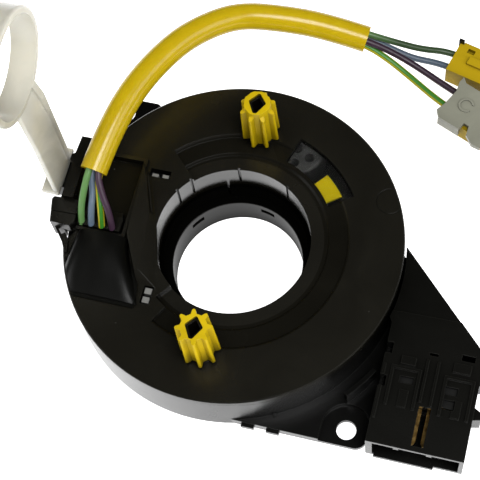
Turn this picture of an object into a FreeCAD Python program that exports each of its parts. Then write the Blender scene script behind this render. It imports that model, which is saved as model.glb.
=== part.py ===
"""Steering clock spring: a fixed drum with a side arm, and a rotor with pins, wire block and pigtail.

Millimetres. The origin lies on the column axis at the foot of the lower collar, +Z points to the
steering wheel, and the mouth of the plug socket faces -Y.
"""
import FreeCAD, Part
import math
import os

V = FreeCAD.Vector
UP = V(0, 0, 1)

# Heights
collar_foot = 0.0
mount_face = 11.0
ear_top = 12.8
floor_top = 13.2
flange_top = 14.5
drum_top = 26.6
disc_bottom = 27.2
disc_top = 30.0
socket_top = 24.3
pin_top = 48.6
bush_top = 49.6

# Radii
drum_radius = 52.0
drum_wall = 2.2
bore_radius = 24.0
hub_wall = 2.2
collar_bore = 20.7
pin_circle = 36.9
pin_width = 5.4
pin_wall = 0.65
ear_circle = 65.2
ear_angle = -45.4
ear_hole_radius = 3.0
pip_angle = -63.0

# Fixed arm
arm_front = -51.4
arm_right = 81.5
arm_left = 52.6
arm_slant = 63.2
cover_wall = 1.3
socket_floor = 12.5
socket_depth = 15.0
contact_count = 6
contact_pitch = 3.8
contact_z = 19.4

# Ribbon cable and its roller carrier
ribbon_thickness = 0.25
ribbon_pitch = 0.5
ribbon_bottom = 14.4
ribbon_top = 25.9
ribbon_room = 3.2
roller_angles = (72.0, 162.0, 252.0, 342.0)
axle_radius = 1.5

# Clearances
running_gap = 0.1
seat_gap = 0.05
free_gap = 0.3

# Cord sections
wire_radius = 1.05
sleeve_radius = 4.2
sleeve_bore = 3.2

# The sleeve's centre line, from the wire block round to the plugs
sleeve_route = [V(-44.2, 6.9, 44.0), V(-42.3, 19.3, 47.7), V(-38.0, 35.7, 49.8),
                V(-30.5, 51.2, 49.7), V(-23.1, 60.8, 48.1), V(-14.1, 68.5, 45.6),
                V(-2.1, 71.7, 42.8), V(12.5, 73.6, 39.7), V(26.0, 72.8, 37.2)]

# Each wire: its place in the sleeve (side, height) and its free points before and after it
wire_routes = {
    "wire_green": (1, 1, [V(-46.7, -5.6, 31.4), V(-47.0, -3.0, 35.6), V(-46.3, 1.2, 41.1)],
                   [V(35.5, 74.7, 35.2), V(43.4, 75.6, 32.4)]),
    "wire_blue": (1, -1, [V(-43.5, -5.6, 31.8), V(-43.6, -2.9, 36.4), V(-44.0, 2.6, 39.3)],
                  [V(34.0, 73.2, 33.6), V(40.8, 72.5, 31.2)]),
    "wire_yellow": (-1, -1, [V(-40.1, -5.6, 31.8), V(-40.3, -2.9, 36.4), V(-42.0, 2.4, 39.4)],
                    [V(33.5, 69.2, 33.8), V(40.6, 66.2, 31.2)]),
    "wire_purple": (-1, 1, [V(-36.7, -5.6, 31.8), V(-37.4, -3.0, 37.0), V(-40.6, 1.4, 41.3)],
                    [V(33.4, 71.2, 35.6), V(41.6, 69.8, 32.2)]),
}

# The plugs: the middle of each entry face, its heading, and its size
plug_a_at = V(53.6, 74.6, 0)
plug_a_heading = V(0.964, -0.264, 0)
plug_a_width = 11.4
plug_a_low = 26.6
plug_a_high = 34.0
plug_b_at = V(55.6, 59.6, 0)
plug_b_heading = V(0.915, -0.403, 0)
plug_b_low = 26.4
plug_b_lid = 32.6
plug_b_high = 34.2
wire_level = 30.3
wire_entries = {"wire_green": ("a", 2.4), "wire_blue": ("a", -2.6),
                "wire_purple": ("b", 3.9), "wire_yellow": ("b", -1.8)}

# The lock key: its foot plate, its stem and its finger ring
key_left = -62.0
key_right = -56.2
key_foot_front = 1.6
key_foot_back = 17.4
key_foot_low = 32.3
key_stem_top_left = -64.4
key_ring_centre = V(-62.0, 10.5, 94.4)
key_ring_radius = 17.2
key_ring_wall = 2.1
key_ring_width = 8.0
key_tongue_depth = 5.0

# The rear ear
rear_hole = V(-49.6, 43.6, 0)
rear_edge = 49.2

# The sight window's two ends, in degrees
window_start = 33.0
window_end = 71.5

# Windows in the disc over the ribbon's lead frame: corners, and the hooks that show in them
clip_windows = (((-31.0, -24.4), (15.2, 17.9)), ((-22.2, -19.2), (-26.6, -20.8)))
clip_hooks = ((-29.2, 15.9, 1.0, 0.55), (-25.9, 16.1, 1.0, 0.55),
              (-20.7, -22.2, 1.1, 0.95), (-20.7, -25.1, 1.1, 0.95))

# Derived sizes
disc_radius = drum_radius + 0.5
drum_inner = drum_radius - drum_wall
hub_radius = bore_radius + hub_wall
drum_foot_radius = drum_radius + 0.8
roller_circle = (hub_radius + drum_inner) / 2
roller_radius = (drum_inner - hub_radius) / 2 - ribbon_room
window_inner = roller_circle - 7.0
window_outer = roller_circle + 1.6
edge_shift = V(52.0 - drum_radius, 0, 0)
ear_hole = V(ear_circle * math.cos(math.radians(ear_angle)),
             ear_circle * math.sin(math.radians(ear_angle)), 0)


def box(x0, x1, y0, y1, z0, z1):
    """A block between two corners."""
    return Part.makeBox(x1 - x0, y1 - y0, z1 - z0, V(x0, y0, z0))


def rod(radius, z0, z1, x=0.0, y=0.0):
    """An upright cylinder."""
    return Part.makeCylinder(radius, z1 - z0, V(x, y, z0))


def tube(outer, inner, z0, z1, x=0.0, y=0.0):
    """An upright tube."""
    return rod(outer, z0, z1, x, y).cut(rod(inner, z0 - 1, z1 + 1, x, y))


def outline(points, z=0.0):
    """A closed outline of straight sides at one height."""
    corners = [V(x, y, z) for x, y in points]
    return Part.makePolygon(corners + corners[:1])


def slab(points, z0, z1):
    """A plate with straight sides."""
    return Part.Face(outline(points, z0)).extrude(V(0, 0, z1 - z0))


def outline_xz(points, y):
    """A closed outline of straight sides in an upright plane."""
    corners = [V(x, y, z) for x, z in points]
    return Part.makePolygon(corners + corners[:1])


def turned(profile, start=0.0, sweep=360.0):
    """A body turned about the column axis from (radius, height) points."""
    face = Part.Face(Part.makePolygon([V(r, 0, z) for r, z in profile + profile[:1]]))
    return face.revolve(V(0, 0, 0), UP, sweep).rotate(V(0, 0, 0), UP, start)


def sector(inner, outer, start, end, z0, z1):
    """A piece of a ring between two angles in degrees."""
    return turned([(inner, z0), (outer, z0), (outer, z1), (inner, z1)], start, end - start)


def polar(radius, degrees, z=0.0):
    """A point at a radius and an angle about the column axis."""
    turn = math.radians(degrees)
    return V(radius * math.cos(turn), radius * math.sin(turn), z)


def fused(shapes):
    """One solid from pieces that meet, with the seams removed."""
    body = shapes[0].fuse(shapes[1:])
    return body.removeSplitter()


def moved(shape, origin, heading):
    """A shape made along +X, turned to a heading in the plan and set at its origin."""
    turn = math.degrees(math.atan2(heading.y, heading.x))
    return shape.copy().rotate(V(0, 0, 0), UP, turn).translate(origin)


def at_edge(shape):
    """A piece that sits on the disc's edge, which follows the drum's radius."""
    return shape.copy().translate(edge_shift)


def spiral_band(first_radius, turns, z0, z1):
    """A coil of flat ribbon: half circles about two centres, so that each turn grows by one pitch."""
    shift = ribbon_pitch / 2
    half = ribbon_thickness / 2
    sides = {half: [], -half: []}
    for side, arcs in sides.items():
        for k in range(2 * turns):
            upper = k % 2 == 0
            centre = V(0 if upper else shift, 0, z0)
            radius = first_radius + k * shift + side
            sign = 1 if upper else -1
            arcs.append(Part.Arc(centre + V(sign * radius, 0, 0), centre + V(0, sign * radius, 0),
                                 centre + V(-sign * radius, 0, 0)).toShape())
    ends = []
    for k, point in ((0, 0), (-1, 1)):
        ends.append(Part.LineSegment(sides[half][k].Vertexes[point].Point,
                                     sides[-half][k].Vertexes[point].Point).toShape())
    wire = Part.Wire(Part.__sortEdges__(sides[half] + sides[-half] + ends))
    return Part.Face(wire).extrude(V(0, 0, z1 - z0))


def cord_path(points):
    """Straight runs joined by tangent arcs, each arc as large as its two runs allow."""
    edges = []
    radii = []
    start = points[0]
    for before, corner, after in zip(points, points[1:], points[2:]):
        back = (before - corner).normalize()
        ahead = (after - corner).normalize()
        half_turn = (math.pi - back.getAngle(ahead)) / 2
        reach = 0.45 * min((before - corner).Length, (after - corner).Length)
        radius = reach / math.tan(half_turn)
        middle = corner + (back + ahead).normalize() * (radius / math.cos(half_turn) - radius)
        edges.append(Part.LineSegment(start, corner + back * reach).toShape())
        edges.append(Part.Arc(corner + back * reach, middle, corner + ahead * reach).toShape())
        start = corner + ahead * reach
        radii.append(radius)
    edges.append(Part.LineSegment(start, points[-1]).toShape())
    return Part.Wire(edges), radii


def cord(name, points, radius, bore=0.0):
    """A round cord along its route, hollow where a bore is given; prints its bends and its volume."""
    path, radii = cord_path(points)
    heading = points[1] - points[0]
    solids = []
    for size in (radius, bore):
        if size:
            ring = Part.Wire(Part.makeCircle(size, points[0], heading))
            solids.append(path.makePipeShell([ring], True, False))
    body = solids[0].cut(solids[1]) if bore else solids[0]
    section = math.pi * (radius ** 2 - bore ** 2)
    print(name, "bend radii", [round(r, 1) for r in radii], "length", round(path.Length, 1),
          "volume over section x length", round(body.Volume / (section * path.Length), 4))
    return body


def wire_in_sleeve(side, height):
    """The points of one wire inside the sleeve, a little off its centre line."""
    offset = 1.25
    points = []
    for k, point in enumerate(sleeve_route):
        before = sleeve_route[max(k - 1, 0)]
        after = sleeve_route[min(k + 1, len(sleeve_route) - 1)]
        left = UP.cross(after - before).normalize()
        points.append(point + left * (side * offset) + UP * (height * offset))
    return points


def wire_end(name):
    """The last two points of a wire, straight into its hole in its plug."""
    plug, side = wire_entries[name]
    at, heading = (plug_a_at, plug_a_heading) if plug == "a" else (plug_b_at, plug_b_heading)
    across = UP.cross(heading)
    start = at + across * side + UP * wire_level
    return [start - heading * 3.0, start + heading * 2.0]


def front_pad():
    """The front fixing ear: a flat pad with a rounded outer corner."""
    right = ear_hole.x + 6.6
    corner = 3.6
    pad = box(ear_hole.x - 7.6, right - corner, arm_front, arm_front + 14, mount_face, ear_top)
    side = box(right - corner - 1, right, arm_front + corner, arm_front + 14, mount_face, ear_top)
    return fused([pad, side, rod(corner, mount_face, ear_top, right - corner, arm_front + corner)])


def rear_ear():
    """The rear fixing ear: a rounded pad with a low rim where it runs into the drum."""
    pad = rod(6.8, mount_face, ear_top, rear_hole.x, rear_hole.y)
    plate = box(rear_hole.x, -40.6, 30, rear_edge, mount_face, ear_top)
    corner = box(-41, -38.6, 30, rear_edge - 2, mount_face, ear_top)
    blend = rod(2.0, mount_face, ear_top, -40.6, rear_edge - 2)
    rim = slab([(-56.2, 42.0), (-44.0, 24.0), (-38.6, 30.0), (-38.6, 40.0)], mount_face, flange_top)
    rim = rim.cut(rod(7.6, ear_top, flange_top + 1, rear_hole.x, rear_hole.y))
    near, far = polar(drum_radius - 1, 146), polar(drum_radius - 1, 127)
    root = slab([(near.x, near.y), (rear_hole.x - 5, rear_hole.y - 4), (-40.6, rear_edge - 2),
                 (far.x, far.y)], mount_face, ear_top)
    body = fused([pad, plate, corner, blend, rim, root])
    body = body.cut(box(-70, 0, rear_edge, 60, mount_face - 1, flange_top + 1))
    return body.cut(rod(drum_inner, mount_face - 1, flange_top + 3))


def stator_housing():
    """The black drum with its floor, its flange arm and two ears, moulded in one."""
    recess = hub_radius + 3.6
    drum = turned([(hub_radius + 0.8, mount_face + 0.6), (recess, mount_face + 0.6),
                   (recess, mount_face), (drum_foot_radius, mount_face),
                   (drum_radius, drum_top), (drum_inner, drum_top), (drum_inner, floor_top),
                   (hub_radius + 0.8, floor_top)])
    lip = turned([(hub_radius + 0.8, floor_top - 0.1), (hub_radius + 2.0, floor_top - 0.1),
                  (hub_radius + 1.6, floor_top + 0.5), (hub_radius + 0.8, floor_top + 0.5)])
    top_y = arm_slant - 49.5
    arm = slab([(8, arm_front), (arm_right, arm_front), (arm_right, arm_slant - arm_right),
                (49.5, top_y), (30, 0)], mount_face, flange_top)
    pocket_right = arm_left - 0.2
    ear_recess = fused([rod(7.6, ear_top, flange_top + 2, ear_hole.x, ear_hole.y),
                        box(ear_hole.x - 7.6, pocket_right, arm_front - 1, ear_hole.y,
                            ear_top, flange_top + 2)])
    ear_gap = box(ear_hole.x, arm_left, arm_front - 1, arm_front + 5, mount_face - 1, flange_top + 2)
    arm = arm.cut(rod(drum_inner, mount_face - 1, flange_top + 3)).cut(ear_recess)
    arm = arm.cut(ear_gap.cut(front_pad()))
    guard = sector(drum_foot_radius + 4.6, drum_foot_radius + 6.0, -41.0, -29.6, flange_top - 0.2, 21.0)
    feet = [box(x0, x0 + 4.0, arm_front - 0.9, arm_front + 1, mount_face, ear_top) for x0 in (14.5, 22.3)]
    lip_front = box(55.1, 73.0, arm_front - 0.8, arm_front + 2, mount_face, socket_floor)
    pip_at = polar(drum_foot_radius + 0.3, pip_angle)
    pip = rod(0.5, flange_top - 0.2, flange_top + 0.9, pip_at.x, pip_at.y)
    body = fused([drum, lip, arm, rear_ear(), guard, lip_front, pip] + feet)
    for hole in (ear_hole, rear_hole):
        body = body.cut(rod(ear_hole_radius, mount_face - 1, flange_top + 1, hole.x, hole.y))
    mouth_floor = box(arm_left + cover_wall + 0.7, arm_right - cover_wall, arm_front - 1,
                      arm_front + socket_depth, socket_floor, flange_top + 1)
    body = body.cut(mouth_floor)
    for along in (8.5, 16.5):
        notch = box(-0.9, 0.9, -0.8, 1.2, mount_face - 1, flange_top + 1).rotate(V(0, 0, 0), UP, -45)
        body = body.cut(notch.translate(V(50.4 + along, 12.8 - along, 0)))
    return body


def cover_plan(inset):
    """The plan of the arm's cover, set in by an amount, before the drum's round is cut away."""
    left = arm_left + inset
    right = arm_right - inset
    front = arm_front + inset
    slant = arm_slant - inset * math.sqrt(2)
    return [(left, front), (right, front), (right, slant - right), (50.2, slant - 50.2),
            (50.2, -10), (left, -14)]


def cover_ribs():
    """The guide frames, rails and blocks on the roof of the cover."""
    low = socket_top - 0.2
    high = socket_top + 0.7
    ribs = []
    for x0 in (55.4, 71.2):
        frame = box(x0, x0 + 9.0, -39.4, -27.0, low, high)
        frame = frame.cut(box(x0 + 0.9, x0 + 8.1, -40, -27.9, low - 1, high + 1))
        ribs.append(frame)
        ribs.append(box(x0 + 3.8, x0 + 6.4, -39.4, -34.0, low, high - 0.2))
    ribs.append(box(57.8, 62.2, -26.4, -23.8, low, high + 0.3))
    ribs.append(box(65.2, 66.0, -36.6, -23.4, low, high))
    ribs.append(box(68.4, 69.2, -37.4, -23.4, low, high))
    ribs.append(box(73.2, 78.4, -25.6, -22.6, low, high))
    ribs.append(box(53.0, 53.8, -44.0, -27.0, low, high - 0.2))
    return ribs


def arm_cover():
    """The upper shell of the arm and the roof and sides of the socket, open at the mouth."""
    shell = slab(cover_plan(0.0), flange_top, socket_top)
    room = slab(cover_plan(cover_wall), flange_top - 1, socket_top - cover_wall)
    mouth = box(arm_left + cover_wall + 0.7, arm_right - cover_wall, arm_front - 1,
                arm_front + socket_depth, flange_top - 1, socket_top - cover_wall)
    shell = shell.cut(room).cut(mouth)
    step = slab([(49, -10.2), (74, -9.6), (90, -26), (90, 20), (49, 20)],
                socket_top - 0.7, socket_top + 1)
    shell = shell.cut(step)
    body = fused([shell] + cover_ribs())
    body = body.cut(rod(drum_foot_radius + free_gap, flange_top - 1, socket_top + 2))
    low = socket_top - 4.3
    high = socket_top + 6
    slots = [box(65.7, 69.3, -49.8, -37.8, low, high), box(58.5, 62.6, -31.9, -29.8, low, high),
             box(72.0, 75.8, -32.6, -30.2, low, high), box(72.1, 75.6, -37.2, -34.2, low, high),
             box(65.6, 68.2, -21.8, -21.0, low, high), box(75.0, 79.0, -21.4, -19.6, low, high),
             box(arm_left - 1, arm_left + 2, -23.6, -20.2, low - 1, high),
             box(arm_left - 1, arm_left + 2, -34.0, -30.6, low - 1, high)]
    for slot in slots:
        body = body.cut(slot)
    for y0 in (-38.0, -27.4):
        wedge = slab([(arm_right - 0.2, y0), (arm_right + 2.4, y0 + 0.6), (arm_right + 2.4, y0 + 2.6),
                      (arm_right - 0.2, y0 + 4.0)], flange_top, socket_top - 2)
        body = body.fuse(wedge)
    for x in (61.6, 71.3):
        key = box(x - 0.8, x + 0.8, arm_front, arm_front + 4, socket_top - cover_wall - 1.2,
                  socket_top - cover_wall + 0.2)
        body = body.fuse(key)
    return body.removeSplitter()


def contact_carrier():
    """The black insert at the back of the socket that holds the contact blades."""
    left = arm_left + cover_wall + 1.0
    right = arm_right - cover_wall - 0.3
    back = arm_front + socket_depth
    block = box(left, right, back, back + 12, flange_top, socket_top - cover_wall)
    rebate = box(left - 1, right + 1, back - 1, back + 2, flange_top - 1, flange_top + 2.5)
    body = block.cut(rebate)
    for k in range(contact_count):
        x = contact_x(k)
        body = body.cut(box(x - 1.1, x + 1.1, back - 1, back + 13, contact_z - 0.4, contact_z + 0.4))
    return body


def contact_x(index):
    """The place of one contact across the socket."""
    middle = (arm_left + cover_wall + 0.7 + arm_right - cover_wall) / 2
    return middle + (index - (contact_count - 1) / 2) * contact_pitch


def contact(index):
    """One flat brass blade with a pointed tip and a tail that stands up in the carrier."""
    x = contact_x(index)
    back = arm_front + socket_depth
    tip = arm_front + 3.0
    blade = slab([(x - 1.1, back + 11), (x - 1.1, tip + 1.2), (x - 0.5, tip), (x + 0.5, tip),
                  (x + 1.1, tip + 1.2), (x + 1.1, back + 11)], contact_z - 0.4, contact_z + 0.4)
    return blade


def hub_collar():
    """The lower sleeve that snaps into the hub and holds the drum's floor between them."""
    shoulder_top = mount_face - 0.4
    skirt = collar_bore + 2.6
    body = turned([(collar_bore, collar_foot), (skirt - 0.6, collar_foot), (skirt, 0.6),
                   (skirt, shoulder_top - 1.5), (hub_radius + 3.0, shoulder_top - 1.2),
                   (hub_radius + 3.0, shoulder_top), (bore_radius - seat_gap, shoulder_top),
                   (bore_radius - seat_gap, 18.4), (bore_radius - 1.4, 18.8),
                   (bore_radius - 1.4, 12.6), (collar_bore, 11.0)])
    for degrees in (144.0, 77.0, 262.0, 322.0):
        window = box(collar_bore - 2, collar_bore + 4, -2.4, 2.4, 6.6, 8.8)
        body = body.cut(window.rotate(V(0, 0, 0), UP, degrees))
    for degrees in (110.0, 200.0, 290.0, 20.0):
        slit = box(bore_radius - 3, bore_radius + 1, -0.35, 0.35, 14.2, 20.0)
        body = body.cut(slit.rotate(V(0, 0, 0), UP, degrees))
    return body


def shield(corner, grow, z):
    """The pins' outline: a rounded kite, grown by a clearance or shrunk by a wall."""
    half = pin_width / 2
    kite = outline([(-half, 0.3), (0, half * 1.3), (half, 0.3), (0.5, -half * 1.3), (-0.5, -half * 1.3)], z)
    return kite.makeOffset2D(min(grow, 0.0) - corner).makeOffset2D(max(grow, 0.0) + corner)


def prism(wire, height):
    """A straight solid on a closed outline."""
    return Part.Face(wire).extrude(V(0, 0, height))


def drive_pin():
    """One hollow pin of the rotor, which the star bush sits on."""
    height = pin_top - disc_top + 0.5
    outer = prism(shield(0.5, 0.0, disc_top - 0.5), height)
    inner = prism(shield(0.4, -pin_wall, disc_top + 1.0), height)
    foot = Part.makeCone(4.3, 3.3, 1.2, V(0, 0, disc_top - 0.1))
    return fused([outer, foot]).cut(inner)


def star_outline(tip, ring, first_rib, z, ribs=8):
    """A ring with narrow rounded ribs round it."""
    edges = []
    pitch = 360.0 / ribs
    for k in range(ribs):
        middle = first_rib + k * pitch
        base_a = polar(ring, middle - 12.0, z)
        side_a = polar(tip - 0.4, middle - 6.0, z)
        crown = polar(tip, middle, z)
        side_b = polar(tip - 0.4, middle + 6.0, z)
        base_b = polar(ring, middle + 12.0, z)
        hollow = polar(ring - 0.05, middle + pitch / 2, z)
        following = polar(ring, middle + pitch - 12.0, z)
        edges.append(Part.LineSegment(base_a, side_a).toShape())
        edges.append(Part.Arc(side_a, crown, side_b).toShape())
        edges.append(Part.LineSegment(side_b, base_b).toShape())
        edges.append(Part.Arc(base_b, hollow, following).toShape())
    return Part.Wire(edges)


def star_bush(side, first_rib, rib_drop):
    """A yellow star bush, narrower at its top, over one drive pin; its ribs may start below the top."""
    low = disc_top + 1.1 + seat_gap
    ring = pin_width / 2 + 1.45
    body = Part.makeLoft([star_outline(ring + 1.9, ring + 0.1, first_rib, low),
                          star_outline(ring + 1.35, ring - 0.1, first_rib, bush_top)], True, True)
    if rib_drop:
        lead = turned([(ring, bush_top - rib_drop + 1.2), (ring + 4, bush_top - rib_drop - 1.0),
                       (ring + 4, bush_top + 1), (ring, bush_top + 1)])
        body = body.cut(lead)
    hole = prism(shield(0.5, seat_gap, low - 1), bush_top - low + 2)
    return body.cut(hole).translate(V(0, side * pin_circle, 0))


def rotor_disc():
    """The black top disc with its hub sleeve, stepped ring round the bore, pocket and two pins."""
    disc = turned([(bore_radius, mount_face - 0.4), (hub_radius, mount_face - 0.4),
                   (hub_radius, disc_bottom), (disc_radius, disc_bottom),
                   (disc_radius, disc_top - 0.3), (disc_radius - 0.3, disc_top),
                   (bore_radius, disc_top)])
    outer_step = turned([(29.6, disc_top + 1), (35.9, disc_top + 1), (35.9, disc_top),
                         (35.0, disc_top - 0.8), (29.6, disc_top - 0.9)], -118.5, 253.5)
    inner_step = turned([(bore_radius - 1, disc_top + 1), (29.7, disc_top + 1), (29.7, disc_top - 0.9),
                         (29.0, disc_top - 1.5), (bore_radius - 1, disc_top - 1.5)], -127.0, 262.0)
    fairing = Part.makeLoft([outline([(-33.4, 19), (-29.4, 14.2), (-25.0, 2.4), (-17.4, -22), (-24.6, -21),
                                      (-31.4, -6)], disc_top - 0.4),
                             outline([(-33.2, 18), (-31.6, 14.2), (-27.0, 2.0), (-24.8, -17), (-26.4, -17),
                                      (-31.9, -6)], disc_top + 2.2)], True, True)
    ridge = slab([(-31.0, 14.0), (-30.5, 14.0), (-26.0, 2.6), (-26.5, 2.6)], disc_top, disc_top + 1.9)
    rim = slab([(-48.2, -7.7), (-32.4, -7.7), (-32.4, 20.2), (-44.6, 20.2), (-44.6, 19.0),
                (-33.6, 19.0), (-33.6, -6.5), (-48.2, -6.5)], disc_top - 1.2, disc_top + 1.3)
    fairing = fairing.cut(box(-50, -33.6, -6.4, 19, 20, 40))
    disc = disc.cut(outer_step).cut(inner_step)
    body = fused([disc, at_edge(fused([fairing, ridge, rim]))])
    for side in (1, -1):
        body = body.fuse(drive_pin().translate(V(0, side * pin_circle, 0)))
    pocket = box(-48.0, -33.6, -6.5, 19.0, disc_top - 1.4, disc_top + 9)
    notch = slab([(-60, -2.6), (-55, -7.6), (-48.2, -7.7), (-50.6, -12.2), (-60, -10)],
                 disc_bottom - 1, disc_top + 3)
    body = body.cut(at_edge(pocket)).cut(at_edge(notch))
    body = body.cut(sector(window_inner, window_outer, window_start, window_end,
                           disc_bottom - 1, disc_top + 1))
    for (x0, x1), (y0, y1) in clip_windows:
        body = body.cut(box(x0, x1, y0, y1, disc_bottom - 1, disc_top + 4))
    mark = tube(4.3, 4.0, disc_top - 0.15, disc_top + 1, 44.3, 22.2)
    body = body.cut(mark)
    for degrees in (150.0, 137.0, 100.0, 60.0):
        slit = box(bore_radius - 1, bore_radius + 0.6, -0.4, 0.4, 20.0, disc_top + 1)
        body = body.cut(slit.rotate(V(0, 0, 0), UP, degrees))
    return body.removeSplitter()


def lead_clip(index):
    """One small white hook of the ribbon's lead frame, which shows in its window in the disc."""
    x, y, half_width, half_depth = clip_hooks[index]
    (x0, x1), (y0, y1) = clip_windows[0 if index < 2 else 1]
    stem = box(x - half_width, x + half_width, y - half_depth, y + half_depth,
               disc_bottom + 0.1, disc_top - 0.5)
    if index < 2:
        anchor = box(x - half_width, x + half_width, y0, y, disc_bottom + 0.1, disc_bottom + 1.2)
    else:
        anchor = box(x, x1, y - half_depth, y + half_depth, disc_bottom + 0.1, disc_bottom + 1.2)
    return fused([stem, anchor])


def sight_lens():
    """The clear lens in the sight window over the roller carrier."""
    return sector(window_inner, window_outer, window_start, window_end,
                  disc_bottom + 0.7, disc_bottom + 1.7)


def key_tongue(extra):
    """The key's tongue below its foot plate, or with an extra the room for it."""
    return box(key_left + 2.4 - extra, key_right - 1.6 + extra, 6.4 - extra, 12.6 + extra,
               key_foot_low - key_tongue_depth - extra, key_foot_low + 0.5)


def wire_block():
    """The black holder at the rotor's edge: a long wall, a box at its near end and the key's seat."""
    wall = slab([(-54.2, 0.4), (-50.6, 0.4), (-50.6, 21.4), (-53.9, 21.4), (-54.3, 15.4), (-55.3, 14.7),
                 (-55.3, 12.8), (-54.4, 12.2)], disc_top, disc_top + 6.0)
    box_body = slab([(-57.5, -0.6), (-57.0, 0.4), (-49.0, 0.7), (-48.4, -6.2), (-49.6, -8.2),
                     (-55.9, -8.0)], disc_top - 1.0, disc_top + 4.0)
    groove = slab([(-58, -4.6), (-47, -4.3), (-47, -4.0), (-58, -4.3)], disc_top + 3.6, disc_top + 5)
    seat = box(key_left + 1.2, -53.4, 4.6, 14.4, disc_bottom - 1.4, key_foot_low)
    foot = box(-55.9, -53.4, -6.0, 12.0, disc_bottom - 1.4, disc_top + 1.0)
    front = slab([(-57.2, -0.6), (-55.9, -8.0), (-50.6, -8.2), (-50.6, -7.2), (-54.8, -6.9), (-56.0, -0.6)],
                 disc_bottom - 2.4, disc_top)
    strap = slab([(-55.3, -7.6), (-54.5, -7.6), (-50.6, -11.8), (-51.4, -12.4)],
                 disc_top - 1.1, disc_top + 0.6)
    knuckle = slab([(-52.3, -10.6), (-50.9, -9.6), (-49.4, -11.6), (-48.6, -15.6), (-49.3, -16.0)],
                   disc_top, disc_top + 1.2)
    body = fused([wall, box_body, seat, foot, front, strap, knuckle]).cut(groove)
    body = body.cut(rod(52.5 + seat_gap, 0, disc_top))
    return body.cut(key_tongue(2 * running_gap))


def lock_key():
    """The white transport lock: tongue, foot plate, ribbed stem and finger ring, moulded in one."""
    ring_low = key_ring_centre.z - key_ring_radius
    foot_top = key_foot_low + 1.6
    plate = box(key_left + 0.4, key_right, key_foot_front, key_foot_back, key_foot_low, foot_top)
    blade = outline_xz([(key_left, foot_top - 0.4), (key_right, foot_top - 0.4),
                        (key_right, ring_low - 4), (key_right - 1.4, ring_low + 3),
                        (key_stem_top_left, ring_low + 3), (key_stem_top_left, ring_low - 14)], 12.9)
    blade = Part.Face(blade).extrude(V(0, 2.2, 0))
    rib = outline_xz([(key_left, foot_top - 0.4), (key_left + 1.1, foot_top - 0.4),
                      (key_stem_top_left + 1.8, ring_low - 14), (key_stem_top_left + 1.8, ring_low + 2),
                      (key_stem_top_left, ring_low + 2), (key_stem_top_left, ring_low - 14)], 9.0)
    rib = Part.Face(rib).extrude(V(0, 5, 0))
    centre = key_ring_centre - V(key_ring_width / 2, 0, 0)
    ring = Part.makeCylinder(key_ring_radius, key_ring_width, centre, V(1, 0, 0))
    ring = ring.makeFillet(0.9, ring.Edges)
    hole = Part.makeCylinder(key_ring_radius - key_ring_wall, 40, centre - V(16, 0, 0), V(1, 0, 0))
    body = fused([plate, key_tongue(0), blade, rib, ring])
    return body.cut(hole)


def wire_cover():
    """The smooth lid over the leads: a dome that falls away to the disc in front."""
    plan = [(-45.2, -28.8), (-23.6, -28.8), (-24.0, -21.8), (-32.4, -8.8), (-46.7, -8.8), (-48.0, -12.6),
            (-48.0, -16.8), (-52.0, -17.4)]
    base = slab(plan, disc_top, disc_top + 0.5)
    sections = []
    for y, left, right, rise in ((-7.9, -44.4, -33.4, 3.9), (-12.0, -45.0, -32.4, 4.1),
                                 (-18.0, -45.4, -29.6, 3.4), (-24.0, -45.0, -26.8, 1.9),
                                 (-27.6, -43.6, -25.4, 0.7)):
        low = disc_top + 0.2
        side = 2.6
        points = [V(left - side, y, low), V(left, y, low + rise), V(right, y, low + rise),
                  V(right + side, y, low)]
        top = Part.BSplineCurve()
        shoulder = V(0.4, 0, 0.2)
        top.interpolate([points[0], points[0] * 0.3 + points[1] * 0.7 - shoulder,
                         points[1] * 0.8 + points[2] * 0.2, points[1] * 0.2 + points[2] * 0.8,
                         points[3] * 0.3 + points[2] * 0.7 + V(0.4, 0, -0.2), points[3]])
        sections.append(Part.Wire([top.toShape(), Part.LineSegment(points[3], points[0]).toShape()]))
    dome = Part.makeLoft(sections, True, False)
    body = fused([base, dome])
    return body.common(rod(51.7, disc_top, disc_top + 9))


def inner_plug():
    """The small black plug in the pocket that the four wires come out of."""
    body = box(-47.9, -34.2, -6.3, -1.6, disc_top - 1.4, disc_top + 2.4)
    ledge = box(-47.0, -35.0, -1.8, 0.6, disc_top - 1.4, disc_top + 0.6)
    body = fused([body, ledge])
    for route in wire_routes.values():
        start, following = route[2][:2]
        body = body.cut(Part.makeCylinder(wire_radius + seat_gap, 6, start, following - start))
    return body


def entry_holes(plug, depth):
    """The holes that a plug's wires go into, in the plug's own directions."""
    holes = []
    for name, (which, side) in wire_entries.items():
        if which == plug:
            start = V(-1, side, wire_level)
            holes.append(Part.makeCylinder(wire_radius + seat_gap, depth + 1, start, V(1, 0, 0)))
    return holes


def upper_plug():
    """The yellow plug that the green and the blue wire go into."""
    half = plug_a_width / 2
    body = slab([(0, -half), (22, -half), (24, -half + 1.5), (24, half - 1.5), (22, half), (0, half)],
                plug_a_low, plug_a_high)
    rib = box(5, 21, -1.4, 1.4, plug_a_high - 0.2, plug_a_high + 0.9)
    body = fused([body, rib])
    mouth = box(14.0, 25.0, -4.2, 4.2, plug_a_low + 1.6, plug_a_high - 1.6)
    for cut in (box(3.2, 5.6, 2.6, 4.2, plug_a_high - 1.5, 40), mouth,
                box(-1, 1.2, half - 0.9, half + 1, plug_a_low + 2, 40), *entry_holes("a", 3)):
        body = body.cut(cut)
    return moved(body, plug_a_at, plug_a_heading)


def plug_wedge():
    """The black secondary lock that stands out of the upper plug's rear corner."""
    half = plug_a_width / 2
    return moved(box(-0.6, 1.1, half - 0.85, half - 0.05, plug_a_low + 2, plug_a_high + 1.4),
                 plug_a_at, plug_a_heading)


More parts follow.
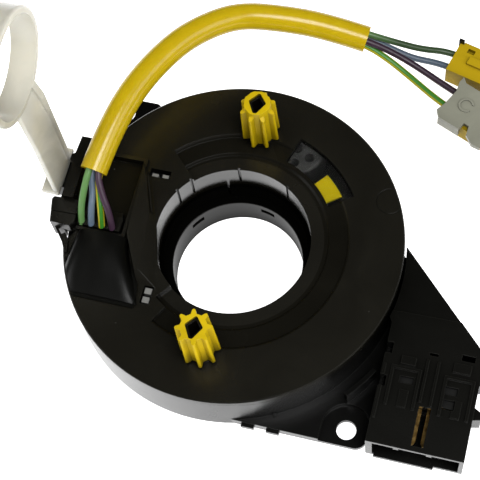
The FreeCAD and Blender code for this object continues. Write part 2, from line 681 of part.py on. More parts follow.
def lower_plug():
    """The yellow housing of the second plug, under its grey cover."""
    body = slab([(0, -6.6), (20, -6.6), (22, -5.1), (22, 4.5), (20, 6.0), (0, 6.0)], plug_b_low, plug_b_lid)
    mouth = box(13.0, 23.0, -5.0, 4.4, plug_b_low + 1.0, plug_b_lid - 1.0)
    for cut in [mouth] + entry_holes("b", 3):
        body = body.cut(cut)
    return moved(body, plug_b_at, plug_b_heading)


def plug_cover():
    """The grey cover of the second plug, with its side lug and hooked latch arm."""
    lid = slab([(-0.6, 8.0), (-0.8, 5.8), (0.2, 2.6), (-0.2, -3.2), (-1.0, -6.3), (1.1, -8.3), (8.3, -8.1),
                (8.6, -5.4), (20, -5.4), (20, 6.6), (1.2, 6.6)], plug_b_lid, plug_b_high)
    mark = tube(2.4, 1.8, plug_b_high - 0.1, plug_b_high + 0.4, 5.6, 0.0)
    mark = mark.cut(box(5.6, 9, -1.1, 1.1, plug_b_high - 1, plug_b_high + 2))
    arm = slab([(10.2, -5.0), (14.2, -5.0), (16.8, -7.2), (17.4, -9.9), (14.4, -10.2), (11.4, -8.4)],
               plug_b_lid, plug_b_high)
    skirt = box(0.6, 8.2, -8.0, -7.2, plug_b_lid - 3.4, plug_b_lid + 0.1)
    body = fused([lid, mark, arm, skirt])
    return moved(body, plug_b_at, plug_b_heading)


def roller_carrier():
    """The ring that the rollers turn on, with a raised stand for the yellow marker."""
    ring = tube(roller_circle + roller_radius - 0.6, roller_circle - roller_radius + 1.0,
                floor_top + 0.6, floor_top + 2.0)
    stand = sector(window_inner + 0.2, window_inner + 5.4, 37.4, 50.6, floor_top + 1.8, drum_top - 0.7)
    axles = []
    for degrees in roller_angles:
        at = polar(roller_circle, degrees)
        axles.append(rod(axle_radius, floor_top + 1.8, drum_top - 0.4, at.x, at.y))
        axles.append(rod(3.0, floor_top + 1.8, floor_top + 2.4, at.x, at.y))
    return fused([ring, stand] + axles)


def marker():
    """The yellow marker that shows in the sight window when the rotor is centred."""
    return sector(window_inner, window_inner + 5.6, 37.2, 50.8, drum_top - 0.7, disc_bottom - 0.4)


def roller(index):
    """One free roller between the ribbon's inner and outer coils."""
    at = polar(roller_circle, roller_angles[index])
    low = floor_top + 2.5
    body = turned([(axle_radius + running_gap, low), (roller_radius - 0.5, low), (roller_radius, low + 0.5),
                   (roller_radius, drum_top - 1.6), (roller_radius - 0.5, drum_top - 1.1),
                   (axle_radius + running_gap, drum_top - 1.1)])
    web = (roller_radius - axle_radius) / 2
    for k in range(6):
        hole = polar(axle_radius + web, 60.0 * k + 30.0)
        body = body.cut(rod(0.42 * web, low - 1, drum_top + 1, hole.x, hole.y))
    return body.translate(at)


def ribbon_loop():
    """The ribbon's U-turn round the first roller, which travels with the carrier."""
    at = polar(roller_circle, roller_angles[0])
    inner = roller_radius + free_gap
    bend = tube(inner + ribbon_thickness, inner, ribbon_bottom + 1.6, ribbon_top - 0.3)
    reach = inner + 2
    half = box(-reach, 0, -reach, reach, 0, 40).rotate(V(0, 0, 0), UP, roller_angles[0] - 90)
    bend = bend.common(half).translate(at)
    near = roller_circle - inner - ribbon_thickness
    far = roller_circle + inner
    low = ribbon_bottom + 1.6
    high = ribbon_top - 0.3
    last = roller_angles[0] + 0.2
    tails = [sector(near, near + ribbon_thickness, last - 12.2, last, low, high),
             sector(far, far + ribbon_thickness, last - 12.2, last, low, high)]
    return fused([bend] + tails)


def ribbon_inner():
    """The ribbon's turns on the hub, which go round with the rotor."""
    return spiral_band(hub_radius + 0.3 + ribbon_thickness / 2, 4, ribbon_bottom, ribbon_top)


def ribbon_outer():
    """The ribbon's turns against the drum's wall, which stay with the housing."""
    turns = 3
    first = drum_inner - 0.2 - turns * ribbon_pitch - ribbon_thickness / 2
    return spiral_band(first, turns, ribbon_bottom, ribbon_top)


def export(name, shape):
    """Checks one piece and writes it to the parts folder."""
    solids = shape.Solids
    if not shape.isValid() or not solids:
        raise ValueError(name + " is not a valid solid")
    print(name, "solids", len(solids), "volume", round(shape.Volume, 1))
    shape.exportStep("parts/" + name + ".step")


def main():
    os.makedirs("parts", exist_ok=True)
    export("stator_housing", stator_housing())
    export("arm_cover", arm_cover())
    export("contact_carrier", contact_carrier())
    for k in range(contact_count):
        export("contact_%d" % (k + 1), contact(k))
    export("ribbon_outer", ribbon_outer())
    export("rotor_disc", rotor_disc())
    export("hub_collar", hub_collar())
    export("star_bush_rear", star_bush(1, 32.0, 3.0))
    export("star_bush_front", star_bush(-1, 14.0, 0.0))
    export("sight_lens", sight_lens())
    for k in range(len(clip_hooks)):
        export("lead_clip_%d" % (k + 1), lead_clip(k))
    export("wire_block", at_edge(wire_block()))
    export("wire_cover", at_edge(wire_cover()))
    export("inner_plug", at_edge(inner_plug()))
    export("lock_key", at_edge(lock_key()))
    export("ribbon_inner", ribbon_inner())
    export("roller_carrier", roller_carrier())
    export("carrier_marker", marker())
    export("ribbon_loop", ribbon_loop())
    for k in range(len(roller_angles)):
        export("roller_%d" % (k + 1), roller(k))
    export("wire_sleeve", cord("wire_sleeve", sleeve_route, sleeve_radius, sleeve_bore))
    for name, (side, height, before, after) in wire_routes.items():
        points = before + wire_in_sleeve(side, height) + after + wire_end(name)
        export(name, cord(name, points, wire_radius))
    export("upper_plug", upper_plug())
    export("plug_wedge", plug_wedge())
    export("lower_plug", lower_plug())
    export("plug_cover", plug_cover())


main()
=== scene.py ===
"""A steering clock spring, lying on its lower collar, with its transport lock key and its two plugs.

The black drum, its arm and the rotor come from the construction model. The leads, their sleeve, the
web of the lock key and the finishes are made here, in the order in which the part is put together.
"""
import bpy
import math
from mathutils import Matrix, Vector


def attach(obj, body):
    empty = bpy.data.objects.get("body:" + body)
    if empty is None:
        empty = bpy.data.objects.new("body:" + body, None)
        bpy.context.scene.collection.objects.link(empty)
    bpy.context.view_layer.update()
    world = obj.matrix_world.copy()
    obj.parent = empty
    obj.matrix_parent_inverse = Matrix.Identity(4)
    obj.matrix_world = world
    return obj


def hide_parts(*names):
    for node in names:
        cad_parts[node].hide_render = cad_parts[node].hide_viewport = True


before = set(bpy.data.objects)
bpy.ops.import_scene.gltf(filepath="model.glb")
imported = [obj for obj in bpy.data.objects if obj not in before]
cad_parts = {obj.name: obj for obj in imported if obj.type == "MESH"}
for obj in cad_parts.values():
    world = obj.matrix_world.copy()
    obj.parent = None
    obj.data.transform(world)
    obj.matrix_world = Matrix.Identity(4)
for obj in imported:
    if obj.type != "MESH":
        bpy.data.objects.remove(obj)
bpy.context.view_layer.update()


# Camera. A long lens looks down on the part from its front right, a little rolled, from about
# 43 cm away, so that the far plugs and the near socket are close to the same scale.
azimuth, elevation, roll = math.radians(25.5), math.radians(65.8), math.radians(-12.08)
to_camera = Vector((math.sin(azimuth) * math.cos(elevation),
                    -math.cos(azimuth) * math.cos(elevation), math.sin(elevation)))
level_right = Vector((math.cos(azimuth), math.sin(azimuth), 0))
level_up = to_camera.cross(level_right)
frame_right = math.cos(roll) * level_right + math.sin(roll) * level_up
frame_up = -math.sin(roll) * level_right + math.cos(roll) * level_up
looks_at = Vector((0.00245, -0.0001, 0.030))
camera_distance = 0.42739
bpy.ops.object.camera_add(location=looks_at + to_camera * camera_distance)
camera = bpy.context.object
camera.name = "camera"
camera.rotation_euler = Matrix((frame_right, frame_up, to_camera)).transposed().to_euler()
camera.data.lens = 105
camera.data.sensor_width = 36
camera.data.clip_start = 0.02
bpy.context.scene.camera = camera


# Table and studio light. A plain white table, lit from below as a product table is, under soft
# boxes that hang high beside the camera; the ceiling behind stays dim, so that black plastic reads
# black on top and pale where it faces the table.
bpy.ops.object.select_all(action="DESELECT")
bpy.ops.mesh.primitive_plane_add(size=8, location=(0, 0, 0))
table = bpy.context.object
table.name = "table"
table_paint = bpy.data.materials.new("white table")
table_paint.use_nodes = True
table_shader = table_paint.node_tree.nodes["Principled BSDF"]
table_shader.inputs["Base Color"].default_value = (0.9, 0.9, 0.9, 1)
table_shader.inputs["Roughness"].default_value = 0.7
table_shader.inputs["Specular IOR Level"].default_value = 0.2
table_shader.inputs["Emission Color"].default_value = (1, 1, 1, 1)
table_shader.inputs["Emission Strength"].default_value = 1.1
table.data.materials.append(table_paint)

for name, place, size, power in (("soft box above", (0.30, -0.28, 1.0), 0.45, 8.0),
                                 ("soft box left", (-0.95, -0.35, 0.75), 0.6, 3.6),
                                 ("soft box right", (1.0, -0.2, 0.8), 0.6, 3.6)):
    bpy.ops.object.light_add(type="AREA", location=place)
    lamp = bpy.context.object
    lamp.name = name
    lamp.data.size = size
    lamp.data.energy = power
    lamp.rotation_euler = (Vector((0, 0, 0.02)) - Vector(place)).to_track_quat("-Z", "Y").to_euler()
world = bpy.data.worlds.new("studio")
world.use_nodes = True
world.node_tree.nodes["Background"].inputs["Color"].default_value = (1, 1, 1, 1)
world.node_tree.nodes["Background"].inputs["Strength"].default_value = 0.035
bpy.context.scene.world = world
bpy.context.scene.view_settings.view_transform = "Standard"


# Housing. One black glass-filled moulding: the drum, its floor, the flange under the arm and the
# two fixing ears. It comes from a spark-eroded tool, so its faces are satin with a fine grain.
def feed(tree, node, inputs):
    """Gives each named input of a shader node a plain value or a link."""
    for socket, value in inputs.items():
        if isinstance(value, bpy.types.NodeSocket):
            tree.links.new(value, node.inputs[socket])
        else:
            node.inputs[socket].default_value = value


def add(tree, kind, inputs, **settings):
    """A new shader node with these settings and inputs."""
    made = tree.nodes.new("ShaderNode" + kind)
    for setting, value in settings.items():
        setattr(made, setting, value)
    feed(tree, made, inputs)
    return made


def colour_ramp(tree, value, low, high):
    """A colour that goes with a value from one stop, a place and a colour, to another."""
    made = add(tree, "ValToRGB", {"Fac": value})
    for stop, (place, colour) in zip(made.color_ramp.elements, (low, high)):
        stop.position = place
        stop.color = (*colour, 1)
    return made.outputs["Color"]


def blank(name):
    """A new node material with its tree and its shader."""
    made = bpy.data.materials.new(name)
    made.use_nodes = True
    return made, made.node_tree, made.node_tree.nodes["Principled BSDF"]


def moulding_group():
    """The surface of a moulding: grain, flow marks, dust, its edges for a painted edge highlight, and how
    open each place lies for painted shade.
    """
    group = bpy.data.node_groups.new("moulded surface", "ShaderNodeTree")
    for socket, value in (("Grain Size", 2600.0), ("Edge Width", 0.00035), ("Edge Gain", 3.0)):
        made = group.interface.new_socket(socket, in_out="INPUT", socket_type="NodeSocketFloat")
        made.default_value = value
    for socket in ("Grain", "Flow", "Dust", "Edge", "Shelter"):
        group.interface.new_socket(socket, in_out="OUTPUT", socket_type="NodeSocketFloat")
    group.interface.new_socket("Soft Normal", in_out="OUTPUT", socket_type="NodeSocketVector")
    given = group.nodes.new("NodeGroupInput")
    out = group.nodes.new("NodeGroupOutput")
    place = add(group, "TexCoord", {})
    grain = add(group, "TexNoise", {"Detail": 5, "Roughness": 0.65, "Vector": place.outputs["Object"],
                                    "Scale": given.outputs["Grain Size"]})
    flow = add(group, "TexNoise", {"Scale": 38, "Detail": 6, "Distortion": 1.2,
                                   "Vector": place.outputs["Object"]})
    specks = add(group, "TexVoronoi", {"Scale": 700, "Vector": place.outputs["Object"]})
    round_speck = add(group, "MapRange", {"From Min": 0.2, "From Max": 0.08,
                                          "Value": specks.outputs["Distance"]})
    few = add(group, "MapRange", {"From Min": 0.93, "From Max": 0.97, "Value": specks.outputs["Color"]})
    dust = add(group, "Math", {0: round_speck.outputs["Result"], 1: few.outputs["Result"]},
               operation="MULTIPLY")
    rounded = add(group, "Bevel", {"Radius": given.outputs["Edge Width"]}, samples=4)
    flat = add(group, "NewGeometry", {})
    same = add(group, "VectorMath", {0: rounded.outputs["Normal"], 1: flat.outputs["Normal"]},
               operation="DOT_PRODUCT")
    edge = add(group, "Math", {0: 1.0, 1: same.outputs["Value"]}, operation="SUBTRACT")
    # Painted highlight: how strongly a lighter colour is painted along the edges.
    edge_highlight_mask = add(group, "Math", {0: edge.outputs["Value"], 1: given.outputs["Edge Gain"]},
               operation="MULTIPLY", use_clamp=True)
    corner = add(group, "AmbientOcclusion", {"Distance": 0.012}, samples=6)
    open_sky = add(group, "MapRange", {"From Min": 0.25, "From Max": 0.9, "Value": corner.outputs["AO"]})
    feed(group, out, {"Grain": grain.outputs["Fac"], "Flow": flow.outputs["Fac"],
                      "Dust": dust.outputs["Value"], "Edge": edge_highlight_mask.outputs["Value"],
                      "Shelter": open_sky.outputs["Result"], "Soft Normal": rounded.outputs["Normal"]})
    return group


moulded_surface = moulding_group()


def moulded(name, colour, edge_highlight_colour, rough, grain_size=2600.0, grain_depth=0.00004, edge_width=0.00035,
            sheen_share=0.8, corner_shade=0.4):
    """A moulded plastic with its own colour and grain, a painted highlight along its edges, and painted
    shade in sheltered corners that darkens its colour and fades its shiny skin.
    """
    made, tree, shader = blank(name)
    surface = add(tree, "Group", {"Grain Size": grain_size, "Edge Width": edge_width},
                  node_tree=moulded_surface)
    tone = colour_ramp(tree, surface.outputs["Flow"], (0.3, [0.82 * c for c in colour]),
                       (0.7, [1.15 * c for c in colour]))
    # Painted highlight: the lighter edge colour is painted along the edges.
    edge_highlighted = add(tree, "Mix", {"B": (*edge_highlight_colour, 1), "Factor": surface.outputs["Edge"], "A": tone},
                 data_type="RGBA")
    grey_dust = (0.10, 0.10, 0.09)
    speck = [max(grey, 0.8 * c) for grey, c in zip(grey_dust, colour)]
    dusty = add(tree, "Mix", {"B": (*speck, 1), "Factor": surface.outputs["Dust"],
                              "A": edge_highlighted.outputs["Result"]}, data_type="RGBA")
    # Painted shade: sheltered corners and hollows get a darker colour.
    depth = add(tree, "MapRange", {"To Min": corner_shade, "Value": surface.outputs["Shelter"]})
    shaded = add(tree, "Mix", {"Factor": 1, "A": dusty.outputs["Result"], "B": depth.outputs["Result"]},
                 data_type="RGBA", blend_type="MULTIPLY")
    # Painted shade on the reflection: the shiny skin fades where a place is sheltered.
    skin = add(tree, "MapRange", {"To Max": sheen_share, "Value": surface.outputs["Shelter"]})
    sheen = add(tree, "MapRange", {"From Min": 0.3, "From Max": 0.7, "To Min": rough - 0.05,
                                   "To Max": rough + 0.05, "Value": surface.outputs["Flow"]})
    relief = add(tree, "Bump", {"Strength": 0.6, "Distance": grain_depth,
                                "Height": surface.outputs["Grain"],
                                "Normal": surface.outputs["Soft Normal"]})
    feed(tree, shader, {"Base Color": shaded.outputs["Result"], "Coat Weight": skin.outputs["Result"],
                        "Coat Roughness": rough, "Specular IOR Level": 0.1,
                        "Roughness": sheen.outputs["Result"], "Normal": relief.outputs["Normal"]})
    return made


def finish(node, material):
    """Gives a node of the construction model its finish."""
    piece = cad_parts[node]
    piece.data.materials.clear()
    piece.data.materials.append(material)


black_satin = moulded("black satin moulding", (0.0034, 0.0034, 0.0030), (0.026, 0.026, 0.023), 0.24,
                      sheen_share=0.36)
finish("stator_housing", black_satin)


# Arm cover. A second black moulding, ultrasonically welded on the flange; it makes the roof and
# the sides of the socket and carries the small guide frames that the customer's plug locks to.
black_cover = moulded("black arm cover", (0.0044, 0.0043, 0.0033), (0.030, 0.030, 0.026), 0.24,
                      sheen_share=0.36)
finish("arm_cover", black_cover)


# Contacts. A black insert at the back of the socket holds six flat blades of brass strip, blanked
# and folded on a press and pushed in from behind. The strip has tarnished to a brown that is
# brighter on the rubbed parts.
finish("contact_carrier", moulded("black contact insert", (0.006, 0.006, 0.005), (0.012, 0.012, 0.010),
                                  0.40))

brass, tree, shader = blank("brass strip")
place = add(tree, "TexCoord", {})
rolled = add(tree, "TexNoise", {"Scale": 600, "Detail": 5, "Vector": place.outputs["Object"]})
tarnish = colour_ramp(tree, rolled.outputs["Fac"], (0.35, (0.20, 0.11, 0.03)), (0.7, (0.46, 0.30, 0.10)))
gloss = add(tree, "MapRange", {"To Min": 0.2, "To Max": 0.42, "Value": rolled.outputs["Fac"]})
feed(tree, shader, {"Base Color": tarnish, "Metallic": 1.0, "Roughness": gloss.outputs["Result"]})
for k in range(6):
    finish("contact_%d" % (k + 1), brass)


# Sight window and ribbon drive. A clear lens shows the yellow marker on the roller carrier when the
# steering is centred. Carrier and rollers are grey acetal, and the ribbon is a light brown film.
clear, tree, shader = blank("clear lens")
place = add(tree, "TexCoord", {})
scratches = add(tree, "TexNoise", {"Scale": 500, "Vector": place.outputs["Object"]})
gloss = add(tree, "MapRange", {"To Min": 0.02, "To Max": 0.14, "Value": scratches.outputs["Fac"]})
feed(tree, shader, {"Base Color": (0.92, 0.93, 0.9, 1), "Transmission Weight": 1.0, "IOR": 1.49,
                    "Roughness": gloss.outputs["Result"]})
finish("sight_lens", clear)
finish("carrier_marker", moulded("yellow marker", (0.86, 0.66, 0.008), (0.88, 0.7, 0.02), 0.45,
                                 corner_shade=1.0))
finish("roller_carrier", moulded("dark grey acetal", (0.065, 0.065, 0.068), (0.14, 0.14, 0.14), 0.40,
                                 corner_shade=0.7))
grey_acetal = moulded("smoke grey acetal", (0.13, 0.13, 0.135), (0.22, 0.22, 0.22), 0.40, corner_shade=0.7)
for k in range(4):
    finish("roller_%d" % (k + 1), grey_acetal)
ribbon_film = moulded("ribbon film", (0.45, 0.36, 0.22), (0.5, 0.42, 0.28), 0.25)
for node in ("ribbon_inner", "ribbon_outer", "ribbon_loop"):
    finish(node, ribbon_film)


# Rotor. The disc and its hub sleeve are one black moulding with a finer grain than the housing's.
# The steps round the bore lie low and in shadow, so painted shade darkens their colour and takes off
# most of their sheen, and the disc's top face keeps less sheen too. The leads' block sits on
# the disc's edge, and four hooks of the pale lead frame show in small windows.
def dull_and_shade_ring(material, radii, heights, share, tone=1.0):
    """Takes the sheen down to a share, and paints shade that darkens the colour to a tone, between two
    radii and two heights.
    """
    tree = material.node_tree
    shader = tree.nodes["Principled BSDF"]
    place = add(tree, "TexCoord", {})
    parts = add(tree, "SeparateXYZ", {"Vector": place.outputs["Object"]})
    level = add(tree, "CombineXYZ", {"X": parts.outputs["X"], "Y": parts.outputs["Y"]})
    radius = add(tree, "VectorMath", {0: level.outputs["Vector"]}, operation="LENGTH")
    soft_edge = 0.00005
    inside = None
    for value, (first, last) in ((radius.outputs["Value"], radii), (parts.outputs["Z"], heights)):
        for edge, ramp in ((first, soft_edge), (last, -soft_edge)):
            step = add(tree, "MapRange", {"From Min": edge - ramp, "From Max": edge + ramp, "Value": value})
            if inside is None:
                inside = step.outputs["Result"]
                continue
            both = add(tree, "Math", {0: inside, 1: step.outputs["Result"]}, operation="MULTIPLY")
            inside = both.outputs["Value"]
    kept = add(tree, "MapRange", {"To Min": 1, "To Max": share, "Value": inside})
    thinner = add(tree, "Math", {0: shader.inputs["Coat Weight"].links[0].from_socket,
                                 1: kept.outputs["Result"]}, operation="MULTIPLY")
    darker = add(tree, "Mix", {"B": (tone, tone, tone, 1), "Factor": inside,
                               "A": shader.inputs["Base Color"].links[0].from_socket},
                 data_type="RGBA", blend_type="MULTIPLY")
    feed(tree, shader, {"Coat Weight": thinner.outputs["Value"], "Base Color": darker.outputs["Result"]})


black_disc = moulded("black rotor disc", (0.0098, 0.0090, 0.0062), (0.013, 0.013, 0.010), 0.24,
                     grain_size=3200.0, sheen_share=0.85)
step_start, top_start, past_rim = 0.0280, 0.0270, 0.0600
below_steps, above_steps, above_top = 0.0200, 0.0296, 0.0310
dull_and_shade_ring(black_disc, (step_start, past_rim), (below_steps, above_steps), 0.08, tone=0.75)
dull_and_shade_ring(black_disc, (top_start, past_rim), (above_steps, above_top), 0.6)
finish("rotor_disc", black_disc)
black_block = moulded("black wire block", (0.0062, 0.0058, 0.0042), (0.012, 0.012, 0.010), 0.26,
                      grain_size=3200.0, sheen_share=0.5)
for node in ("wire_block", "inner_plug"):
    finish(node, black_block)
lead_frame = moulded("lead frame hooks", (0.26, 0.26, 0.245), (0.34, 0.34, 0.32), 0.45)
for k in range(4):
    finish("lead_clip_%d" % (k + 1), lead_frame)


# Lower collar and lead cover. The collar is a plain sleeve that is pushed into the hub from below, and
# its upper wall lies in shadow, deep in the bore, so painted shade darkens it and takes off its sheen.
# The cover is a smooth thin shell over the leads, moulded in a polished tool, so it is the deepest black.
black_collar = moulded("black collar", (0.0050, 0.0050, 0.0042), (0.008, 0.008, 0.007), 0.34,
                       sheen_share=0.5)
past_collar, upper_wall_foot, past_hub = 0.040, 0.0112, 0.030
dull_and_shade_ring(black_collar, (0.0, past_collar), (upper_wall_foot, past_hub), 0.0, tone=0.3)
feed(black_collar.node_tree, black_collar.node_tree.nodes["Principled BSDF"], {"Specular IOR Level": 0})
finish("hub_collar", black_collar)
finish("wire_cover", moulded("black lead cover", (0.0028, 0.0028, 0.0022), (0.004, 0.004, 0.003), 0.32,
                             sheen_share=0.18))


# Leads. Four soft PVC wires, each about 2 mm thick, come up out of the black plug at the rotor's
# edge, run through one sleeve and end in the two plugs. They are extruded round tinned strands.
def metres(*points):
    """Points in millimetres as vectors in metres."""
    return [Vector(point) / 1000 for point in points]


def strand(name, points, radius):
    """A round cord as one smooth spline with these control points."""
    line = bpy.data.curves.new(name, "CURVE")
    line.dimensions = "3D"
    line.resolution_u = 10
    line.bevel_depth = radius
    line.bevel_resolution = 6
    line.use_fill_caps = True
    spline = line.splines.new("NURBS")
    spline.points.add(len(points) - 1)
    for knot, place in zip(spline.points, points):
        knot.co = (*place, 1)
    spline.order_u = 3
    spline.use_endpoint_u = True
    piece = bpy.data.objects.new(name, line)
    bpy.context.scene.collection.objects.link(piece)
    return piece


def spline_length(points):
    """The length in metres of the smooth spline with these control points."""
    piece = strand("measure", points, 0)
    bpy.context.view_layer.update()
    line = bpy.data.meshes.new_from_object(piece.evaluated_get(bpy.context.evaluated_depsgraph_get()))
    places = [vertex.co.copy() for vertex in line.vertices]
    bpy.data.meshes.remove(line)
    bpy.data.objects.remove(piece)
    return sum((b - a).length for a, b in zip(places, places[1:])), places


sleeve_line = metres((-44.2, 6.9, 44.0), (-42.3, 19.3, 47.7), (-38.0, 35.7, 49.8), (-30.5, 51.2, 49.7),
                     (-23.1, 60.8, 48.1), (-14.1, 68.5, 45.6), (-2.1, 71.7, 42.8), (12.5, 73.6, 39.7),
                     (26.0, 72.8, 37.2))

# Each wire: its side and height in the sleeve, its way out of the block and on from the sleeve, and
# its plug's face and heading with its place across that face in millimetres.
upper_plug_face = Vector((53.6, 74.6, 0)) / 1000
upper_plug_way = Vector((0.964, -0.264, 0)).normalized()
lower_plug_face = Vector((55.6, 59.6, 0)) / 1000
lower_plug_way = Vector((0.915, -0.403, 0)).normalized()
wire_plan = {
    "wire_green": (1, 1, metres((-46.7, -5.6, 31.4), (-47.0, -3.0, 35.6), (-46.3, 1.2, 41.1)),
                   metres((35.5, 74.7, 35.2), (43.4, 75.6, 32.4)), upper_plug_face, upper_plug_way, 2.4),
    "wire_blue": (1, -1, metres((-43.5, -5.6, 31.8), (-43.6, -2.9, 36.4), (-44.0, 2.6, 39.3)),
                  metres((34.0, 73.2, 33.6), (40.8, 72.5, 31.2)), upper_plug_face, upper_plug_way, -2.6),
    "wire_yellow": (-1, -1, metres((-40.1, -5.6, 31.8), (-40.3, -2.9, 36.4), (-42.0, 2.4, 39.4)),
                    metres((33.5, 69.2, 33.8), (40.6, 66.2, 31.2)), lower_plug_face, lower_plug_way, -1.8),
    "wire_purple": (-1, 1, metres((-36.7, -5.6, 31.8), (-37.4, -3.0, 37.0), (-40.6, 1.4, 41.3)),
                    metres((33.4, 71.2, 35.6), (41.6, 69.8, 32.2)), lower_plug_face, lower_plug_way, 3.9),
}
wire_radius, wire_spread = 0.00105, 0.00125
entry_height, before_entry, past_entry = 0.0303, 0.003, 0.002

# Each wire's coat, its stripe and how much light its far end keeps under painted shade; where round
# the wire the stripe lies and how wide it is, as shares of a turn; and where along the part the
# painted shade of the far end begins and where it is full.
wire_colours = {
    "wire_green": ((0.15, 0.33, 0.10, 1), (0.15, 0.33, 0.10, 1), 0.22),
    "wire_blue": ((0.15, 0.21, 0.29, 1), (0.15, 0.21, 0.29, 1), 0.6),
    "wire_yellow": ((0.60, 0.52, 0.02, 1), (0.05, 0.27, 0.02, 1), 0.9),
    "wire_purple": ((0.060, 0.028, 0.055, 1), (0.060, 0.028, 0.055, 1), 0.6),
}
stripe_side, stripe_half, stripe_edge = 0.25, 0.09, 0.105
far_shade_from, far_shade_to = 0.020, 0.036


def wire_pvc(name, coat, stripe, far_end_light):
    """Soft wire insulation: satin, with a stripe along one side, and painted shade that darkens the far
    end.
    """
    made, tree, shader = blank(name)
    place = add(tree, "TexCoord", {})
    split = add(tree, "SeparateXYZ", {"Vector": place.outputs["UV"]})
    turned = add(tree, "Math", {0: split.outputs["Y"], 1: stripe_side + 0.5, 2: stripe_side - 0.5},
                 operation="WRAP")
    aside = add(tree, "Math", {0: turned.outputs["Value"], 1: stripe_side}, operation="SUBTRACT")
    either_way = add(tree, "Math", {0: aside.outputs["Value"]}, operation="ABSOLUTE")
    band = add(tree, "MapRange", {"From Min": stripe_half, "From Max": stripe_edge,
                                  "Value": either_way.outputs["Value"]}, interpolation_type="SMOOTHSTEP")
    haze = add(tree, "TexNoise", {"Scale": 900, "Detail": 4, "Vector": place.outputs["Object"]})
    tint = add(tree, "Mix", {"A": stripe, "B": coat, "Factor": band.outputs["Result"]}, data_type="RGBA")
    uneven = add(tree, "Mix", {"Factor": 0.25, "A": tint.outputs["Result"], "B": haze.outputs["Color"]},
                 data_type="RGBA", blend_type="MULTIPLY")
    along = add(tree, "SeparateXYZ", {"Vector": place.outputs["Object"]})
    # Painted shade: the wires are darkened towards the plugs.
    far_end_shade = add(tree, "MapRange", {"From Min": far_shade_from, "From Max": far_shade_to, "To Min": 1,
                                  "To Max": far_end_light, "Value": along.outputs["X"]})
    far_shaded = add(tree, "Mix", {"Factor": 1, "A": uneven.outputs["Result"], "B": far_end_shade.outputs["Result"]},
                 data_type="RGBA", blend_type="MULTIPLY")
    gloss = add(tree, "MapRange", {"To Min": 0.32, "To Max": 0.5, "Value": haze.outputs["Fac"]})
    lumps = add(tree, "Bump", {"Strength": 0.25, "Distance": 0.0002, "Height": haze.outputs["Fac"]})
    feed(tree, shader, {"Base Color": far_shaded.outputs["Result"], "Roughness": gloss.outputs["Result"],
                        "Normal": lumps.outputs["Normal"]})
    return made


for name, (side, height, out_of_block, towards_plug, face, way, across) in wire_plan.items():
    through = []
    for k, place in enumerate(sleeve_line):
        along = sleeve_line[min(k + 1, len(sleeve_line) - 1)] - sleeve_line[max(k - 1, 0)]
        left = Vector((0, 0, 1)).cross(along).normalized()
        through.append(place + left * side * wire_spread + Vector((0, 0, height * wire_spread)))
    entry = face + Vector((-way.y, way.x, 0)) * across / 1000 + Vector((0, 0, entry_height))
    points = out_of_block + through + towards_plug + [entry - way * before_entry, entry + way * past_entry]
    wire = strand(name + "_pvc", points, wire_radius)
    wire.data.materials.append(wire_pvc(name + " insulation", *wire_colours[name]))
    length = spline_length(points)[0]
    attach(wire, "rotor")
    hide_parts(name)


# Sleeve. A yellow PVC tube, 8.4 mm across with a wall of 1 mm, cut square at both ends and pushed
# over the wires. It is bent by hand, so its skin has faint folds along it.
sleeve_radius, sleeve_wall = 0.0042, 0.001
bpy.ops.object.select_all(action="DESELECT")
sleeve_length, sleeve_places = spline_length(sleeve_line)
sleeve = strand("yellow_sleeve", sleeve_line, sleeve_radius)
sleeve.data.use_fill_caps = False
sleeve.data.bevel_resolution = 12
sleeve.data.resolution_u = 16
bpy.context.view_layer.objects.active = sleeve
sleeve.select_set(True)
bpy.ops.object.convert(target="MESH")
bpy.ops.object.modifier_add(type="SOLIDIFY")
sleeve.modifiers["Solidify"].thickness = sleeve_wall
sleeve.modifiers["Solidify"].offset = -1
bpy.ops.object.modifier_apply(modifier="Solidify")
bpy.ops.object.shade_smooth_by_angle(angle=math.radians(50))

yellow_pvc, tree, shader = blank("yellow sleeve PVC")
place = add(tree, "TexCoord", {})
creases = add(tree, "TexNoise", {"Scale": 260, "Detail": 3, "Distortion": 0.8,
                                 "Vector": place.outputs["Object"]})
skin = add(tree, "TexNoise", {"Scale": 1700, "Detail": 5, "Vector": place.outputs["Object"]})
shade = colour_ramp(tree, creases.outputs["Fac"], (0.3, (0.60, 0.42, 0.005)), (0.75, (0.66, 0.47, 0.008)))
gloss = add(tree, "MapRange", {"To Min": 0.17, "To Max": 0.25, "Value": skin.outputs["Fac"]})
folds = add(tree, "Bump", {"Strength": 0.02, "Distance": 0.0012, "Height": creases.outputs["Fac"]})
pores = add(tree, "Bump", {"Strength": 0.08, "Distance": 0.0001, "Height": skin.outputs["Fac"],
                           "Normal": folds.outputs["Normal"]})
feed(tree, shader, {"Base Color": shade, "Roughness": gloss.outputs["Result"],
                    "Specular IOR Level": 0.4, "Subsurface Weight": 0.1,
                    "Subsurface Radius": (0.002, 0.001, 0.0002), "Subsurface Scale": 1.0,
                    "Normal": pores.outputs["Normal"]})
sleeve.data.materials.clear()
sleeve.data.materials.append(yellow_pvc)
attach(sleeve, "rotor")
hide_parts("wire_sleeve")


# Plugs. Two housings of yellow polyester that the leads' crimps snap into: the upper one is closed
# by a black wedge, and the lower one by a grey cover that snaps over it.
plug_yellow = moulded("yellow plug plastic", (0.50, 0.34, 0.006), (0.6, 0.43, 0.02), 0.5, sheen_share=0.1)
finish("upper_plug", plug_yellow)
finish("lower_plug", plug_yellow)
finish("plug_wedge", black_block)
finish("plug_cover", moulded("grey plug cover", (0.30, 0.30, 0.235), (0.4, 0.4, 0.33), 0.42))
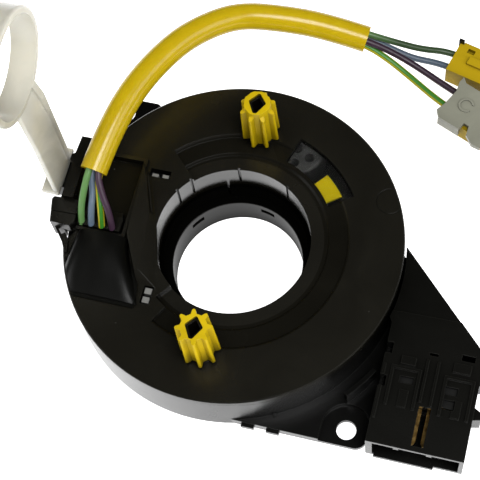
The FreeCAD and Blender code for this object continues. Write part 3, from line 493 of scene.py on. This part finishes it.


# Star bushes. Two ribbed sleeves of yellow acetal, a little narrower at the top, pushed over the
# hollow drive pins. The ribs take up the play in the steering wheel's hub.
# Painted shade darkens the hollows between the ribs strongly.
yellow_acetal = moulded("yellow acetal", (0.72, 0.51, 0.004), (0.84, 0.64, 0.02), 0.45,
                        grain_depth=0.00002, sheen_share=0.15, corner_shade=0.12)
finish("star_bush_rear", yellow_acetal)
finish("star_bush_front", yellow_acetal)


# Lock key. One moulding in natural white acetal that keeps the rotor centred until the part is
# fitted, and is then pulled off by its ring. A web closes the stem's channel towards the rotor.
key_white = moulded("milky white acetal", (0.66, 0.64, 0.55), (0.70, 0.68, 0.60), 0.26,
                    grain_depth=0.00003, sheen_share=1.0, corner_shade=0.8)
feed(key_white.node_tree, key_white.node_tree.nodes["Principled BSDF"],
     {"Subsurface Weight": 0.2, "Subsurface Radius": (0.003, 0.0025, 0.0018), "Subsurface Scale": 1.0})
finish("lock_key", key_white)

foot_top, bend, shoulder, ring_root = 0.0336, 0.0636, 0.0721, 0.0792
web_right, web_wall, web_middle, web_depth, web_start = -0.0562, 0.0018, 0.00805, 0.0125, 0.001
web_edge = 0.0004
bpy.ops.object.select_all(action="DESELECT")
bpy.ops.mesh.primitive_cube_add(size=1, location=(web_right - web_wall / 2, web_middle,
                                                  foot_top - web_start / 2))
key_web = bpy.context.object
key_web.name = "key_web"
key_web.scale = (web_wall, web_depth, web_start)
bpy.ops.object.transform_apply(location=True, rotation=False, scale=True)
bpy.ops.object.mode_set(mode="EDIT")
bpy.ops.mesh.select_mode(type="FACE")
bpy.ops.mesh.select_all(action="DESELECT")
bpy.ops.object.mode_set(mode="OBJECT")
for face in key_web.data.polygons:
    face.select = face.normal.z > 0.9
bpy.ops.object.mode_set(mode="EDIT")
for start, end, lean, shift in ((foot_top, bend, 0, 0), (bend, shoulder, -0.0008, 0.0004),
                                (shoulder, ring_root, -0.0012, 0.0010)):
    bpy.ops.mesh.extrude_region_move(TRANSFORM_OT_translate={"value": (lean, shift, end - start)})
bpy.ops.object.mode_set(mode="OBJECT")
bpy.ops.object.modifier_add(type="BEVEL")
key_web.modifiers["Bevel"].width = web_edge
key_web.modifiers["Bevel"].segments = 3
bpy.ops.object.modifier_apply(modifier="Bevel")
bpy.ops.object.shade_smooth_by_angle(angle=math.radians(40))
key_web.data.materials.append(key_white)
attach(key_web, "key")
